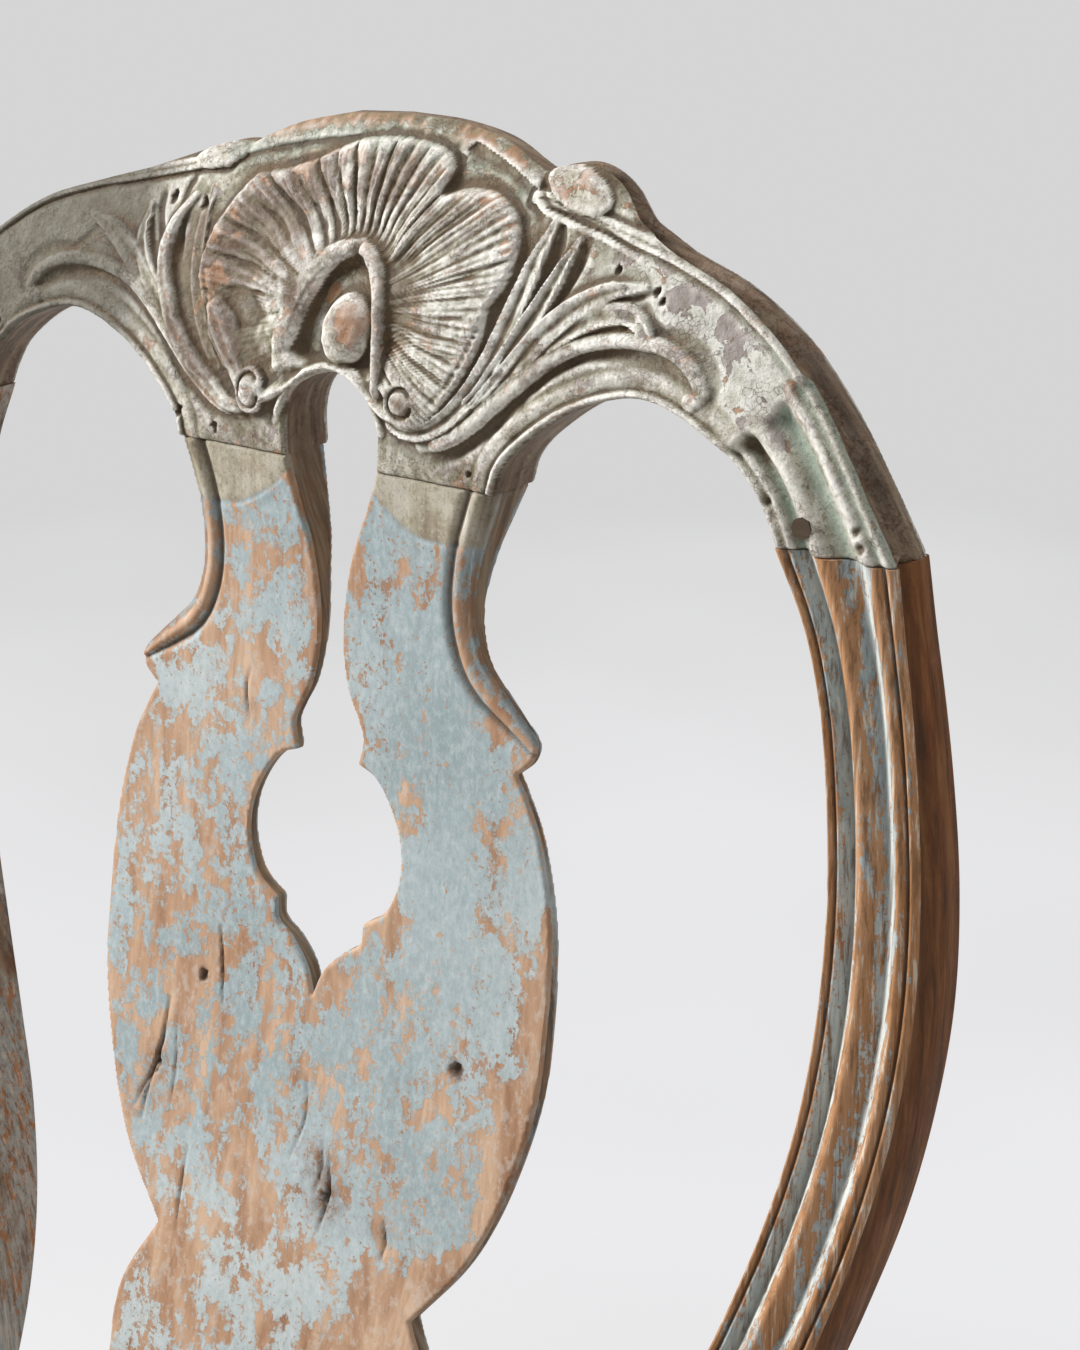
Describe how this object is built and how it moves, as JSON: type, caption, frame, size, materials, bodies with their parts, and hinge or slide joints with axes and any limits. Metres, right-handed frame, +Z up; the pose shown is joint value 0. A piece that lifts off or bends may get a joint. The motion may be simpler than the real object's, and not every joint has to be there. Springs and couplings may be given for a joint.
{
  "type": "dining chair",
  "caption": "Painted wooden dining chair with a carved shell crest, pierced vase splat, moulded curved stiles, cabriole front legs and a loose upholstered seat.",
  "frame": {"origin": "on the floor, under the middle of the chair's outer box", "axes": "+Z up, +Y towards the back, +X to the right of someone who faces the front"},
  "size_m": [0.538, 0.5426, 0.984],
  "materials": {
    "crest_paint": "thick cream and grey-green oil paint, crazed and flaking, dark wax in the carving",
    "blue_grey_paint": "pale blue-grey paint scraped back to bare orange pine",
    "peg_wood": "dark end grain",
    "bare_pine": "bare aged pine",
    "webbing": "woven jute",
    "canvas": "coarse hessian",
    "horsehair": "matted curled hair",
    "linen": "undyed woven linen",
    "tack_iron": "blued iron"
  },
  "bodies": {
    "chair": {"crest_pegs": "peg_wood", "crest_rail": "crest_paint", "cross_stretcher": "blue_grey_paint", "front_seat_rail": "blue_grey_paint", "left_front_corner_block": "bare_pine", "left_front_knee_bracket": "blue_grey_paint", "left_front_leg": "blue_grey_paint", "left_rear_corner_block": "bare_pine", "left_rear_post": "blue_grey_paint", "left_seat_rail": "blue_grey_paint", "left_side_knee_bracket": "blue_grey_paint", "left_side_stretcher": "blue_grey_paint", "rail_pegs": "peg_wood", "rear_seat_rail": "blue_grey_paint", "right_front_corner_block": "bare_pine", "right_front_knee_bracket": "blue_grey_paint", "right_front_leg": "blue_grey_paint", "right_rear_corner_block": "bare_pine", "right_rear_post": "blue_grey_paint", "right_seat_rail": "blue_grey_paint", "right_side_knee_bracket": "blue_grey_paint", "right_side_stretcher": "blue_grey_paint", "splat": "blue_grey_paint", "splat_shoe": "blue_grey_paint"},
    "seat": {"seat_frame_front": "bare_pine", "seat_frame_rear": "bare_pine", "seat_frame_left": "bare_pine", "seat_frame_right": "bare_pine", "seat_webbing": "webbing", "seat_canvas": "canvas", "seat_stuffing": "horsehair", "seat_cover": "linen", "seat_tacks": "tack_iron"}
  },
  "joints": [
    {"name": "seat_lift", "type": "slide", "parent": "chair", "child": "seat", "axis": [0, 0, 1], "range_m": [0, 0.12]}
  ]
}
